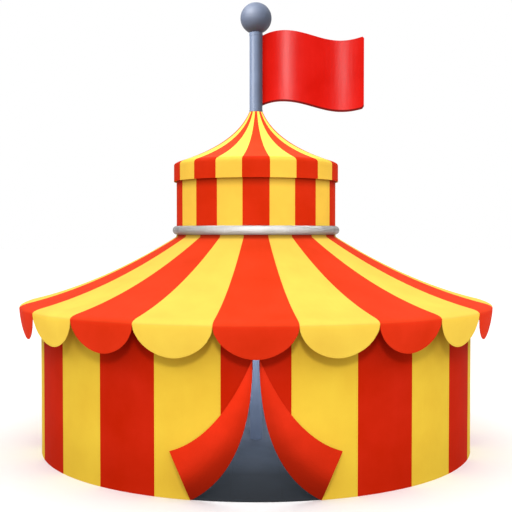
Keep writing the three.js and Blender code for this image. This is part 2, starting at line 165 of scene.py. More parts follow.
# Coated polyester: yarn woven at under a millimetre and covered with soft vinyl, so it has an even
# colour, a satin face, a faint weave, and long shallow creases along the panel from being rolled.
# rough is how matt it is, and satin how much of the light it mirrors. Two settings make its foot
# darker, by how much and up to what height; on the door flaps this is painted shade. Another gives the
# height of an overhang, how far below it a painted shadow reaches, and how dark that shadow is. In a
# mix node sockets 6 and 7 are the two colours, and output 2 is the mixed one.
def coated_polyester(name, hexcode, rough=0.6, foot_darkening=0.0, foot_darkening_height=1.6, satin=0.01, overhang_shadow=None):
    made, tree = new_material(name)
    spot = add(tree, "ShaderNodeTexCoord")
    face = linear(hexcode)
    worn = tuple(min(c * 1.06 + 0.004, 1.0) for c in face[:3]) + (1.0,)
    deep = tuple(c * 0.93 for c in face[:3]) + (1.0,)
    patches = add(tree, "ShaderNodeTexNoise",
                  {"Vector": spot.outputs["Object"], "Scale": 0.9, "Detail": 4.0, "Roughness": 0.55})
    colour = add(tree, "ShaderNodeValToRGB", {"Fac": patches.outputs["Fac"]})
    colour.color_ramp.elements[0].position = 0.3
    colour.color_ramp.elements[0].color = deep
    colour.color_ramp.elements[1].position = 0.72
    colour.color_ramp.elements[1].color = worn
    # one row of stitches 30 mm in from each edge, drawn coarse at 112 mm from one to the next
    edge = add(tree, "ShaderNodeAttribute", attribute_name="edge")
    flat = add(tree, "ShaderNodeSeparateXYZ", {"Vector": spot.outputs["UV"]})
    off = add(tree, "ShaderNodeMath", {0: edge.outputs["Fac"], 1: 0.03}, operation="SUBTRACT")
    beside = add(tree, "ShaderNodeMath", {0: off.outputs[0]}, operation="ABSOLUTE")
    row = add(tree, "ShaderNodeMapRange",
              {"Value": beside.outputs[0], "From Min": 0.006, "From Max": 0.0, "To Max": 0.5})
    run = add(tree, "ShaderNodeMath", {0: flat.outputs["Y"], 1: flat.outputs["X"]}, operation="ADD")
    beat = add(tree, "ShaderNodeMath", {0: run.outputs[0], 1: 0.056}, operation="PINGPONG")
    dash = add(tree, "ShaderNodeMapRange",
               {"Value": beat.outputs[0], "From Min": 0.012, "From Max": 0.02})
    stitch = add(tree, "ShaderNodeMath",
                 {0: row.outputs["Result"], 1: dash.outputs["Result"]}, operation="MULTIPLY")
    sewn = add(tree, "ShaderNodeMix",
               {"Factor": stitch.outputs[0], 6: colour.outputs["Color"],
                7: tuple(c * 0.62 for c in face[:3]) + (1.0,)}, data_type="RGBA")
    # darker towards the foot of a wall; on the door flaps this is painted shade
    low = add(tree, "ShaderNodeSeparateXYZ", {"Vector": spot.outputs["Object"]})
    streaks = add(tree, "ShaderNodeTexNoise",
                  {"Vector": spot.outputs["Object"], "Scale": 2.2, "Detail": 5.0})
    reach = add(tree, "ShaderNodeMath",
                {0: streaks.outputs["Fac"], 1: foot_darkening_height * 0.5, 2: foot_darkening_height * 0.75},
                operation="MULTIPLY_ADD")
    foot_mask = add(tree, "ShaderNodeMapRange",
               {"Value": low.outputs["Z"], "From Min": reach.outputs[0], "From Max": 0.0,
                "To Max": foot_darkening}, interpolation_type="SMOOTHSTEP")
    darkened = add(tree, "ShaderNodeMix",
                 {"Factor": foot_mask.outputs["Result"], 6: sewn.outputs[2],
                  7: tuple(c * 0.6 for c in face[:3]) + (1.0,)}, data_type="RGBA")
    # painted shadow: the cloth is darkened just below an overhang
    if overhang_shadow:
        top, fall, dark = overhang_shadow
        shadow_fade = add(tree, "ShaderNodeMapRange",
                      {"Value": low.outputs["Z"], "From Min": top - fall, "From Max": top,
                       "To Max": dark}, interpolation_type="SMOOTHERSTEP")
        darkened = add(tree, "ShaderNodeMix",
                     {"Factor": shadow_fade.outputs["Result"], 6: darkened.outputs[2],
                      7: tuple(c * 0.08 for c in face[:3]) + (1.0,)}, data_type="RGBA")
    # real yarns lie too close together to show, so the weave is drawn with 31 mm waves
    warp = add(tree, "ShaderNodeTexWave",
               {"Vector": spot.outputs["UV"], "Scale": 10.0, "Distortion": 0.4}, bands_direction="X")
    weft = add(tree, "ShaderNodeTexWave",
               {"Vector": spot.outputs["UV"], "Scale": 10.0, "Distortion": 0.4}, bands_direction="Y")
    weave = add(tree, "ShaderNodeMath",
                {0: warp.outputs["Fac"], 1: weft.outputs["Fac"]}, operation="ADD")
    along = add(tree, "ShaderNodeMapping",
                {"Vector": spot.outputs["UV"], "Scale": (5.0, 0.7, 1.0)})
    creases = add(tree, "ShaderNodeTexNoise",
                  {"Vector": along.outputs[0], "Scale": 1.0, "Detail": 3.0, "Roughness": 0.5})
    bump = add(tree, "ShaderNodeBump",
               {"Height": weave.outputs[0], "Strength": 0.12, "Distance": 0.0012})
    folds = add(tree, "ShaderNodeBump",
                {"Height": creases.outputs["Fac"], "Strength": 0.35, "Distance": 0.02,
                 "Normal": bump.outputs[0]})
    sewing = add(tree, "ShaderNodeBump",
                 {"Height": stitch.outputs[0], "Strength": 0.5, "Distance": 0.003,
                  "Normal": folds.outputs[0]}, invert=True)
    gloss = add(tree, "ShaderNodeMapRange",
                {"Value": patches.outputs["Fac"], "To Min": rough - 0.06, "To Max": rough + 0.08})
    shade(tree, Base_Color=darkened.outputs[2], Roughness=gloss.outputs["Result"],
          Specular_IOR_Level=satin, IOR=1.5, Normal=sewing.outputs[0])
    return made


# Enamel on steel tube: sprayed, with a slight orange peel and a little chalking that dulls it in
# patches. gloss is how much of the light it mirrors, and 0.5 is a full gloss.
def enamel(name, hexcode, rough, gloss):
    made, tree = new_material(name)
    spot = add(tree, "ShaderNodeTexCoord")
    face = linear(hexcode)
    chalk = add(tree, "ShaderNodeTexNoise",
                {"Vector": spot.outputs["Object"], "Scale": 3.0, "Detail": 6.0, "Roughness": 0.6})
    colour = add(tree, "ShaderNodeValToRGB", {"Fac": chalk.outputs["Fac"]})
    colour.color_ramp.elements[0].position = 0.35
    colour.color_ramp.elements[0].color = tuple(c * 0.92 for c in face[:3]) + (1.0,)
    colour.color_ramp.elements[1].position = 0.7
    colour.color_ramp.elements[1].color = tuple(min(c * 1.05, 1.0) for c in face[:3]) + (1.0,)
    peel = add(tree, "ShaderNodeTexNoise",
               {"Vector": spot.outputs["Object"], "Scale": 60.0, "Detail": 2.0})
    bump = add(tree, "ShaderNodeBump",
               {"Height": peel.outputs["Fac"], "Strength": 0.04, "Distance": 0.002})
    dulled = add(tree, "ShaderNodeMapRange",
                 {"Value": chalk.outputs["Fac"], "To Min": rough - 0.05, "To Max": rough + 0.07})
    shade(tree, Base_Color=colour.outputs["Color"], Roughness=dulled.outputs["Result"],
          Specular_IOR_Level=gloss, Normal=bump.outputs[0])
    return made


# Hot-dipped galvanised steel: dull grey with a patchwork of zinc crystals about 30 mm across.
def galvanised_steel(name):
    made, tree = new_material(name)
    spot = add(tree, "ShaderNodeTexCoord")
    spangle = add(tree, "ShaderNodeTexVoronoi",
                  {"Vector": spot.outputs["Object"], "Scale": 33.0, "Randomness": 1.0})
    tone = add(tree, "ShaderNodeSeparateColor", {"Color": spangle.outputs["Color"]})
    colour = add(tree, "ShaderNodeValToRGB", {"Fac": tone.outputs[0]})
    colour.color_ramp.elements[0].color = linear("8A929C")
    colour.color_ramp.elements[1].color = linear("A9B0B8")
    gloss = add(tree, "ShaderNodeMapRange",
                {"Value": tone.outputs[1], "To Min": 0.38, "To Max": 0.55})
    shade(tree, Base_Color=colour.outputs["Color"], Roughness=gloss.outputs["Result"], Metallic=1.0)
    return made


# Ribbed rubber floor mat: matt, rolled out in strips. Its colour is painted shade, darkest by the
# doorway and lighter towards the back.
def rubber_mat(name):
    made, tree = new_material(name)
    spot = add(tree, "ShaderNodeTexCoord")
    place = add(tree, "ShaderNodeSeparateXYZ", {"Vector": spot.outputs["Object"]})
    # painted shade: from dark at the doorway to light at the back
    depth = add(tree, "ShaderNodeMapRange",
                {"Value": place.outputs["Y"], "From Min": -6.1, "From Max": 6.1})
    colour = add(tree, "ShaderNodeValToRGB", {"Fac": depth.outputs["Result"]})
    colour.color_ramp.elements[0].color = linear("1A2027")
    colour.color_ramp.elements[1].color = linear("6F7B8D")
    for place_in, hexcode in ((0.18, "272D35"), (0.38, "566070"), (0.5, "6A7486")):
        colour.color_ramp.elements.new(place_in).color = linear(hexcode)
    scuffs = add(tree, "ShaderNodeTexNoise",
                 {"Vector": spot.outputs["Object"], "Scale": 1.6, "Detail": 7.0, "Roughness": 0.62})
    tone = add(tree, "ShaderNodeMapRange",
               {"Value": scuffs.outputs["Fac"], "To Min": 0.8, "To Max": 1.2})
    scuffed = add(tree, "ShaderNodeVectorMath",
                  {0: colour.outputs["Color"], "Scale": tone.outputs["Result"]}, operation="SCALE")
    # ribs 24 mm apart and strips of mat 1.2 m wide
    ribs = add(tree, "ShaderNodeTexWave",
               {"Vector": spot.outputs["Object"], "Scale": 13.0}, bands_direction="X")
    strip = add(tree, "ShaderNodeMath", {0: place.outputs["X"], 1: 0.6}, operation="PINGPONG")
    joint = add(tree, "ShaderNodeMapRange",
                {"Value": strip.outputs[0], "From Min": 0.6, "From Max": 0.588, "To Min": 0.8})
    jointed = add(tree, "ShaderNodeVectorMath",
                  {0: scuffed.outputs[0], "Scale": joint.outputs["Result"]}, operation="SCALE")
    bump = add(tree, "ShaderNodeBump",
               {"Height": ribs.outputs["Fac"], "Strength": 0.3, "Distance": 0.002})
    groove = add(tree, "ShaderNodeBump",
                 {"Height": joint.outputs["Result"], "Strength": 0.8, "Distance": 0.006,
                  "Normal": bump.outputs[0]})
    shade(tree, Base_Color=jointed.outputs[0], Roughness=0.85, Normal=groove.outputs[0])
    return made


# Painted shadow under the canopy's collar and under the crown's band
RING_SHADOW = (6.03, 0.17, 0.66)
BAND_SHADOW = (7.56, 0.3, 0.38)
# The same cloth takes a different tone on each tier (cone, roof, valance, band, drum and wall): painted
# light and shade for how the light falls on each.
ROOF_RED = coated_polyester("coated_polyester_roof_red", "DE3B18", overhang_shadow=RING_SHADOW)
ROOF_YELLOW = coated_polyester("coated_polyester_roof_yellow", "F4C852", overhang_shadow=RING_SHADOW)
EDGE_RED = coated_polyester("coated_polyester_valance_red", "E53311")
EDGE_YELLOW = coated_polyester("coated_polyester_valance_yellow", "FFD14D")
CONE_RED = coated_polyester("coated_polyester_cone_red", "FF4A26")
CONE_YELLOW = coated_polyester("coated_polyester_cone_yellow", "FFF368")
BAND_RED = coated_polyester("coated_polyester_band_red", "D62E0B")
BAND_YELLOW = coated_polyester("coated_polyester_band_yellow", "FCD04F")
DRUM_RED = coated_polyester("coated_polyester_drum_red", "D62E0B", overhang_shadow=BAND_SHADOW)
DRUM_YELLOW = coated_polyester("coated_polyester_drum_yellow", "FBD04F", overhang_shadow=BAND_SHADOW)
WALL_RED = coated_polyester("coated_polyester_wall_red", "D32406", foot_darkening=0.3)
WALL_YELLOW = coated_polyester("coated_polyester_wall_yellow", "FFCF40", foot_darkening=0.3)
# The flap's cloth is painted lighter than the wall's and much darker towards its foot: painted light
# and shade.
FLAP_RED = coated_polyester("coated_polyester_flap_red", "E02F12", foot_darkening=1.3, foot_darkening_height=3.0)
LINING = coated_polyester("coated_polyester_lining_slate", "788699", rough=0.65, foot_darkening=0.4)
FLAG_RED = coated_polyester("light_polyester_flag_red", "E01203", rough=0.4, satin=0.02)
# a darker red for the flag's bottom edge: painted shade
FLAG_DARK_EDGE = coated_polyester("flag_edge_painted_shade_red", "7A120A", rough=0.7)
SLATE_ENAMEL = enamel("slate_blue_satin_enamel", "525D72", 0.5, 0.3)
# The ball's enamel is a darker copy of the pole's: painted shade.
BALL_ENAMEL = enamel("shaded_slate_blue_enamel", "444D60", 0.6, 0.5)
WHITE_ENAMEL = enamel("white_satin_enamel", "7E7E7D", 0.35, 0.15)
GALVANISED = galvanised_steel("galvanised_steel")
FLOOR_MAT = rubber_mat("ribbed_rubber_mat")


def around(radius, angle, height):
    """A point at a distance from the pole, an angle from the doorway towards +X, and a height."""
    return Vector((radius * math.sin(angle), -radius * math.cos(angle), height))


def bezier(points, t):
    """A point on a curve with one control point, in two dimensions."""
    a, b, c = points
    return tuple(a[k] * (1 - t) ** 2 + 2 * b[k] * t * (1 - t) + c[k] * t**2 for k in (0, 1))


def lengths(points):
    """The distance along a line of points, at each point."""
    found = [0.0]
    for before, after in zip(points, points[1:]):
        found.append(found[-1] + math.dist(before, after))
    return found


def smooth(t):
    t = min(max(t, 0.0), 1.0)
    return t * t * (3 - 2 * t)


def pick(o):
    """Selects this object only, and makes it the active one."""
    bpy.ops.object.select_all(action="DESELECT")
    o.select_set(True)
    bpy.context.view_layer.objects.active = o


def keep(o, node):
    """A finished piece: it rides on the tent and stands for a CAD node."""
    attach(o, "root")
    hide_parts(node)


def grid(name, columns, rows, place, finish, materials, wrap=False):
    """A sheet on a grid of columns and rows, facing outwards. place(i, j) gives a point's position,
    its spot on the flat cloth, and its distance to the nearest edge; finish(i, j) a face's material."""
    spots = [[place(i, j) for i in range(columns + 1)] for j in range(rows + 1)]
    across = columns if wrap else columns + 1
    vertices = [spots[j][i][0] for j in range(rows + 1) for i in range(across)]
    faces, flats, numbers = [], [], []
    for j in range(rows):
        for i in range(columns):
            corners = ((i, j), (i + 1, j), (i + 1, j + 1), (i, j + 1))
            faces.append([b * across + a % across for a, b in corners])
            flats.extend(spots[b][a][1] for a, b in corners)
            numbers.append(finish(i, j))
    mesh = bpy.data.meshes.new(name)
    mesh.from_pydata(vertices, [], faces)
    layer = mesh.uv_layers.new(name="cloth")
    for loop, flat in zip(layer.data, flats):
        loop.uv = flat
    edge = mesh.attributes.new("edge", "FLOAT", "POINT")
    edge.data.foreach_set("value", [spots[j][i][2] for j in range(rows + 1) for i in range(across)])
    mesh.polygons.foreach_set("material_index", numbers)
    for material in materials:
        mesh.materials.append(material)
    mesh.validate()
    o = bpy.data.objects.new(name, mesh)
    bpy.context.scene.collection.objects.link(o)
    return o


def thicken(o):
    """Gives a sheet its thickness on the inner side. Materials come in pairs: face, then back."""
    solidify = o.modifiers.new("thickness", "SOLIDIFY")
    solidify.thickness = CLOTH_THICK
    solidify.offset = -1
    solidify.use_even_offset = True
    solidify.material_offset = 1
    pick(o)
    bpy.ops.object.modifier_apply(modifier=solidify.name)
    bpy.ops.object.shade_smooth_by_angle(angle=SMOOTH_ANGLE)


def hemmed(width, inner):
    """Places across a strip from -width to width, with two columns close to each edge."""
    half = width - HEM
    middle = [half * (2 * k / inner - 1) for k in range(inner + 1)]
    return [-width, -width + HEM * HEM_COLUMN, *middle, width - HEM * HEM_COLUMN, width]


def hem_rise(edge):
    """A hem or lap stands a little proud along the edge."""
    return HEM_RISE * (1 - smooth((edge - HEM * HEM_FLAT) / (HEM * HEM_FLAT)))


# Main canopy
SHOULDER_ROWS = 8
SLOPE_ROWS = 26
SCALLOP_ROWS = 9
GORE_INNER = 18
GORE_COLUMNS = GORE_INNER + 4


def canopy_profile():
    shoulder = (EAVE, SHOULDER_CORNER, SHOULDER_TOP)
    slope = (SHOULDER_TOP, CANOPY_WAIST, CANOPY_TOP)
    points = [bezier(shoulder, k / SHOULDER_ROWS) for k in range(SHOULDER_ROWS)]
    points += [bezier(slope, k / SLOPE_ROWS) for k in range(SLOPE_ROWS + 1)]
    return [*points, CANOPY_COLLAR]


def canopy_gore():
    profile = canopy_profile()
    along = lengths(profile)
    rows = SCALLOP_ROWS + len(profile) - 1

    def place(i, j):
        row = max(j - SCALLOP_ROWS, 0)
        radius, height = profile[row]
        width = radius * GORE_ANGLE / 2
        across = hemmed(width, GORE_INNER)[i]
        side = across / width
        edge = width - abs(across)
        before, after = profile[max(row - 1, 0)], profile[min(row + 1, len(profile) - 1)]
        run = Vector((after[0] - before[0], after[1] - before[1])).normalized()
        slack = math.sin(math.pi * along[row] / along[-1]) if row else 0.0
        lift = hem_rise(edge) - GORE_SAG * (1 - side**2) * slack
        v = along[row]
        if j < SCALLOP_ROWS:
            depth = SCALLOP_DEPTH * (1 - abs(side) ** SCALLOP_FULLNESS) ** (1 / SCALLOP_FULLNESS)
            depth = max(depth, SCALLOP_CORNER)
            down = scallop_share(j) * depth
            edge = min(edge + down * 0.5, depth - down)
            height -= down
            v = -down
            radius -= SCALLOP_LEAN * (down / SCALLOP_DEPTH) ** SCALLOP_CURL
            lift = hem_rise(edge)
        radius += run.y * lift
        height -= run.x * lift
        return around(radius, across / radius, height), (across, v), edge

    def finish(i, j):
        return 2 if j < SCALLOP_ROWS else 0

    return grid("gore", GORE_COLUMNS, rows, place, finish, [ROOF_RED, LINING, EDGE_RED, EDGE_RED])


def scallop_share(j):
    """How far down the scallop row j lies: the two lowest rows make its hem."""
    if j == 0:
        return 1.0
    if j == 1:
        return SCALLOP_HEM[0]
    return SCALLOP_HEM[1] * (1 - (j - 2) / (SCALLOP_ROWS - 2))


def make_canopy():
    model = canopy_gore()
    thicken(model)
    cut = EAVE[0] * GORE_ANGLE, lengths(canopy_profile())[-1] + SCALLOP_DEPTH
    for k in range(GORES):
        number = f"{k + 1:02d}"
        mesh = model.data.copy()
        mesh.transform(Matrix.Rotation(k * GORE_ANGLE, 4, "Z"))
        if k % 2:
            for slot, material in ((0, ROOF_YELLOW), (2, EDGE_YELLOW), (3, EDGE_YELLOW)):
                mesh.materials[slot] = material
        gore = bpy.data.objects.new(f"canopy_cloth_{number}", mesh)
        bpy.context.scene.collection.objects.link(gore)
        keep(gore, f"canopy_gore_{number}")
    bpy.data.objects.remove(model)


# Crown roof and its band, in one sheet
BAND_ROWS = 8
CORNER_ROWS = 5
CONE_ROWS = 20
CONE_START = 0.045  # share of the cone's curve that the rounded corner takes
DRUM_ROWS = 10
STRIPE_INNER = 6
NARROW_HEM = 0.3  # the most of half a stripe that a hem takes


def crown_columns(radius):
    """Angles round the crown, with columns beside each seam, and each one's distance to a seam."""
    width = radius * CROWN_ANGLE / 2
    hem = min(HEM, width * NARROW_HEM)
    places = [-width, -width + hem * HEM_COLUMN, -width + hem]
    places += [(width - hem) * (2 * k / STRIPE_INNER - 1) for k in range(1, STRIPE_INNER)]
    places += [width - hem, width - hem * HEM_COLUMN]
    found = []
    for stripe in range(CROWN_STRIPES):
        found += [(stripe * CROWN_ANGLE + p / radius, width - abs(p)) for p in places]
    return found, len(places)


def crown_profile():
    slope = ((BAND_RADIUS, BAND_FOLD), CROWN_WAIST, CROWN_PEAK)
    hem = BAND_BOTTOM + HEM
    step = (BAND_FOLD - BAND_ROUNDING - hem) / (BAND_ROWS - 2)
    heights = [BAND_BOTTOM, BAND_BOTTOM + HEM * HEM_COLUMN, hem]
    heights += [hem + step * k for k in range(1, BAND_ROWS - 1)]
    points = [(BAND_RADIUS, height) for height in heights]
    corner = (points[-1], (BAND_RADIUS, BAND_FOLD), bezier(slope, CONE_START))
    points += [bezier(corner, k / CORNER_ROWS) for k in range(1, CORNER_ROWS + 1)]
    steps = [CONE_START + (1 - CONE_START) * k / CONE_ROWS for k in range(1, CONE_ROWS + 1)]
    return points + [bezier(slope, t) for t in steps]


def make_crown_roof():
    profile = crown_profile()
    along = lengths(profile)
    per_stripe = crown_columns(1.0)[1]
    columns = CROWN_STRIPES * per_stripe
    band_rows = BAND_ROWS + CORNER_ROWS

    def place(i, j):
        radius, height = profile[j]
        around_it, _ = crown_columns(radius)
        turn = 2 * math.pi if i == columns else 0.0
        angle, edge = around_it[i % columns]
        before, after = profile[max(j - 1, 0)], profile[min(j + 1, len(profile) - 1)]
        run = Vector((after[0] - before[0], after[1] - before[1])).normalized()
        if j < BAND_ROWS:
            edge = min(edge, along[j])
        lift = hem_rise(edge)
        spot = around(radius + run.y * lift, angle, height - run.x * lift)
        return spot, ((angle + turn) * BAND_RADIUS, along[j]), edge

    def finish(i, j):
        yellow = (i // per_stripe) % 2
        part = 4 if j < BAND_ROWS else 2 if j < band_rows else 0
        return 6 * yellow + part

    materials = [CONE_RED, LINING, BAND_RED, LINING, BAND_RED, BAND_RED,
                 CONE_YELLOW, LINING, BAND_YELLOW, LINING, BAND_YELLOW, BAND_YELLOW]
    roof = grid("crown_roof_cloth", columns, len(profile) - 1, place, finish, materials, wrap=True)
    thicken(roof)
    keep(roof, "crown_roof")


def make_crown_wall():
    low = RING_HEIGHT + RING_TUBE * DRUM_FOOT
    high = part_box("crown_wall")[1].z
    per_stripe = crown_columns(1.0)[1]
    columns = CROWN_STRIPES * per_stripe
    placed, _ = crown_columns(DRUM_RADIUS)

    def place(i, j):
        angle, edge = placed[i % columns]
        turn = 2 * math.pi if i == columns else 0.0
        height = low + (high - low) * j / DRUM_ROWS
        radius = DRUM_RADIUS + hem_rise(edge)
        return around(radius, angle, height), ((angle + turn) * DRUM_RADIUS, height), edge

    def finish(i, j):
        return 2 * ((i // per_stripe) % 2)

    materials = [DRUM_RED, LINING, DRUM_YELLOW, LINING]
    drum = grid("crown_wall_cloth", columns, DRUM_ROWS, place, finish, materials, wrap=True)
    thicken(drum)
    keep(drum, "crown_wall")


# Walls
WALL_ROWS = 22
PER_STRIPE = 10
DOOR_STEPS = 40
DOOR_SPREAD = 0.9  # below 1 the columns beside the slit stand wider apart
CLEAR_OF_SEAM = 0.012  # the doorway's columns keep this far from those of a seam
PAST_DOOR = 0.01  # the plain columns begin this far past the doorway
FRONT_GAP = 0.0002  # half the gap between the two front walls over the doorway


def billow(arc, height):
    """How far the wall's cloth swings out at a spot: nothing at its head and at its foot."""
    free = math.sin(math.pi * min(height / WALL_TOP, 1.0)) ** BILLOW_SPREAD
    spot = Vector((arc * BILLOW_WAVES[0], height * BILLOW_WAVES[1], BILLOW_SEED))
    return BILLOW * free * noise.noise(spot)


def wall_sheet(name, node, columns):
    """A wall from columns of (distance along the wall, lowest height), left to right."""
    def place(i, j):
        arc, low = columns[i]
        heights = [0.0, HEM * HEM_COLUMN, HEM]
        heights += [HEM + (WALL_TOP - low - HEM) * k / WALL_ROWS for k in range(1, WALL_ROWS + 1)]
        height = low + heights[j]
        side = abs(arc) / WALL_RADIUS / STRIPE_ANGLE + 0.5
        seam = abs(side - round(side)) * STRIPE_ANGLE * WALL_RADIUS
        edge = min(seam, heights[j])
        slack = 1 - smooth(1 - seam / SEAM_REACH)
        radius = WALL_RADIUS - WALL_INSET + billow(arc, height) * slack + hem_rise(edge)
        return around(radius, arc / WALL_RADIUS, height), (arc, height), edge

    def finish(i, j):
        middle = (columns[i][0] + columns[i + 1][0]) / 2
        return 2 * (round(abs(middle) / WALL_RADIUS / STRIPE_ANGLE) % 2)

    wall = grid(name, len(columns) - 1, WALL_ROWS + 2, place, finish,
                [WALL_RED, LINING, WALL_YELLOW, LINING])
    thicken(wall)
    keep(wall, node)
    area = sum((b[0] - a[0]) * (WALL_TOP - (a[1] + b[1]) / 2) for a, b in zip(columns, columns[1:]))


def stripe_columns(first, last):
    """Columns over whole stripes, with two beside each seam. first and last count stripes."""
    width = STRIPE_ANGLE * WALL_RADIUS
    inner = [HEM + (width - 2 * HEM) * k / PER_STRIPE for k in range(PER_STRIPE + 1)]
    places = [0.0, HEM * HEM_COLUMN, *inner, width - HEM * HEM_COLUMN]
    found = [(width * (stripe + p / width), 0.0) for stripe in range(first, last) for p in places]
    return [(arc + width / 2, low) for arc, low in found] + [(width * (last + 0.5), 0.0)]


def front_columns():
    """Columns of the right front wall, from the middle of the doorway to its outer seam."""
    door = [bezier(DOOR_EDGE, (k / DOOR_STEPS) ** DOOR_SPREAD) for k in range(DOOR_STEPS + 1)]
    seam = STRIPE_ANGLE * WALL_RADIUS / 2
    fold = HEM * HEM_COLUMN
    seams = [seam - HEM, seam - fold, seam, seam + fold, seam + HEM]
    edge = [(x, z) for x, z in door if all(abs(x - s) > CLEAR_OF_SEAM for s in seams)]
    for s in seams:
        t = math.sqrt((s - DOOR_EDGE[0][0]) / (DOOR_EDGE[2][0] - DOOR_EDGE[0][0]))
        edge.append((s, bezier(DOOR_EDGE, t)[1]))
    past = DOOR_EDGE[2][0] + PAST_DOOR
    plain = [(arc, low) for arc, low in stripe_columns(0, 1) if arc > past]
    return [(FRONT_GAP, SLIT_TOP), SLIT_SHOULDER, *sorted(edge), *plain]


def make_walls():
    right = front_columns()
    left = [(-arc, low) for arc, low in reversed(right)]
    wall_sheet("front_wall_cloth_right", "front_wall_right", right)
    wall_sheet("front_wall_cloth_left", "front_wall_left", left)
    side = stripe_columns(1, 8)
    wall_sheet("side_wall_cloth_right", "side_wall_right", side)
    mirrored = [(-arc, low) for arc, low in reversed(side)]
    wall_sheet("side_wall_cloth_left", "side_wall_left", mirrored)
    wall_sheet("rear_wall_cloth", "rear_wall", stripe_columns(8, 15))


# Door flaps, swept back outside the wall
FLAP_ROWS = 34
FLAP_COLUMNS = 22


def make_flap(side):
    reach = lengths([bezier(FLAP_EDGE, k / FLAP_ROWS) for k in range(FLAP_ROWS + 1)])[-1]

    def place(i, j):
        out = i / FLAP_COLUMNS if side > 0 else 1 - i / FLAP_COLUMNS
        step = 1 - j / FLAP_ROWS
        inner = bezier(DOOR_EDGE, step)
        outer = bezier(FLAP_EDGE, step)
        spot = [inner[k] + (outer[k] - inner[k]) * out for k in (0, 1)]
        fullness = FLAP_TOP_FULLNESS + (1 - FLAP_TOP_FULLNESS) * step**FLAP_FULLNESS_POWER
        roll = fullness * math.sin(math.pi * out) * FLAP_BULGE
        width = math.dist(inner, outer)
        edge = min(out * width, (1 - out) * width, (1 - step) * reach)
        radius = WALL_RADIUS + FLAP_STAND + roll + fullness * FLAP_LIFT * out
        arc = spot[0] * (1 - FLAP_DRAW_IN * roll / WALL_RADIUS)
        height = spot[1] + FLAP_DRAW_UP * roll
        return around(radius, side * arc / WALL_RADIUS, height), (out * width, reach * step), edge

    name = "right" if side > 0 else "left"
    flap = grid(f"door_flap_cloth_{name}", FLAP_COLUMNS, FLAP_ROWS, place,
                lambda i, j: 0, [FLAP_RED, WALL_RED])
    thicken(flap)
    keep(flap, f"door_flap_{name}")


# Flag
FLAG_COLUMNS = 72
FLAG_ROWS = 34


def flag_wave(share):
    lead = FLAG_LEAD * (1 - math.exp(-FLAG_LEAD_RATE * share))
    return math.sin(2 * math.pi * (FLAG_WAVES * share + lead))


def make_flag():
    shares = [k / FLAG_COLUMNS for k in range(FLAG_COLUMNS + 1)]
    line = [(FLAG_LENGTH * share, FLAG_DEPTH_WAVE * flag_wave(share)) for share in shares]
    along = lengths(line)

    def place(i, j):
        share = shares[i]
        x = FLAG_LENGTH * share
        wave = flag_wave(share)
        past = max(x - (FLAG_LENGTH - FLAG_CORNER), 0.0)
        cut = FLAG_CORNER - math.sqrt(max(FLAG_CORNER**2 - past**2, 0.0))
        deep = FLAG_DROP + FLAG_SAG * share
        drop = (deep - 2 * cut) * (1 - j / FLAG_ROWS) + cut
        flick = FLAG_FLICK * share**FLAG_FLICK_POWER
        z = FLAG_TOP - drop + FLAG_HEIGHT_WAVE * wave + flick
        edge = min(along[-1] - along[i], drop - cut, deep - cut - drop)
        y = -CLOTH_THICK / 2 - FLAG_DEPTH_WAVE * wave - hem_rise(edge)
        return Vector((POLE_RADIUS + FLAG_GAP + x, y, z)), (along[i], deep - drop), edge

    # the lowest row takes the darker red: painted shade along the flag's bottom edge
    def finish(i, j):
        return 2 if j == 0 else 0

    flag = grid("flag_cloth", FLAG_COLUMNS, FLAG_ROWS, place, finish,
                [FLAG_RED, FLAG_RED, FLAG_DARK_EDGE, FLAG_DARK_EDGE])
    thicken(flag)
    keep(flag, "flag")


# Pole, ball and ring, smooth where the solids have flats
EDGE_ROUNDING = 0.004
# Where a band round the pole begins and ends, and how far it stands out: the clamp above the
# crown's peak, and the socket ring below the pole's top
CLAMP = (0.01, 0.06, 0.006)
SOCKET = (-0.1, -0.03, 0.008)
BALL_JOINT = (0.008, -0.001)  # half its height, and how far it stands out


def select_faces(o, wanted):
    """Selects the faces whose middles pass a test, and leaves the piece in edit mode."""
    bpy.ops.object.mode_set(mode="EDIT")
    bpy.ops.mesh.select_mode(type="FACE")
    bpy.ops.mesh.select_all(action="DESELECT")
    bpy.ops.object.mode_set(mode="OBJECT")
    for face in o.data.polygons:
        face.select = wanted(face)
    bpy.ops.object.mode_set(mode="EDIT")


def collar(o, low, high, depth):
    """Raises, or with a negative depth sinks, a band round an upright piece between two heights."""
    bpy.ops.object.mode_set(mode="EDIT")
    for height in (low, high):
        bpy.ops.mesh.select_all(action="SELECT")
        bpy.ops.mesh.bisect(plane_co=(0, 0, height), plane_no=(0, 0, 1))
    bpy.ops.object.mode_set(mode="OBJECT")
    select_faces(o, lambda face: low < face.center.z < high)
    bpy.ops.mesh.inset(thickness=EDGE_ROUNDING, depth=depth)
    bpy.ops.object.mode_set(mode="OBJECT")


def round_ends(o):
    """Rounds the rims of an upright piece's flat ends."""
    select_faces(o, lambda face: len(face.vertices) > 4 and abs(face.normal.z) > 0.9)
    bpy.ops.mesh.bevel(offset=EDGE_ROUNDING, segments=2)
    bpy.ops.object.mode_set(mode="OBJECT")


def finish_steel(o, name, material):
    o.name = name
    pick(o)
    bpy.ops.object.shade_smooth_by_angle(angle=SMOOTH_ANGLE)
    o.data.materials.append(material)


def make_pole():
    """The tube, with a clamp just above the crown's cloth and a socket ring under the ball."""
    bpy.ops.object.select_all(action="DESELECT")
    bpy.ops.mesh.primitive_cylinder_add(
        vertices=64, radius=POLE_RADIUS, depth=pole_high.z - pole_low.z,
        location=(0, 0, (pole_high.z + pole_low.z) / 2))
    pole = bpy.context.active_object
    bpy.ops.object.transform_apply(location=True, rotation=True, scale=True)
    for (low, high, depth), base in ((CLAMP, CROWN_PEAK[1]), (SOCKET, pole_high.z)):
        collar(pole, base + low, base + high, depth)
    round_ends(pole)
    finish_steel(pole, "centre_pole_tube", SLATE_ENAMEL)
    keep(pole, "centre_pole")


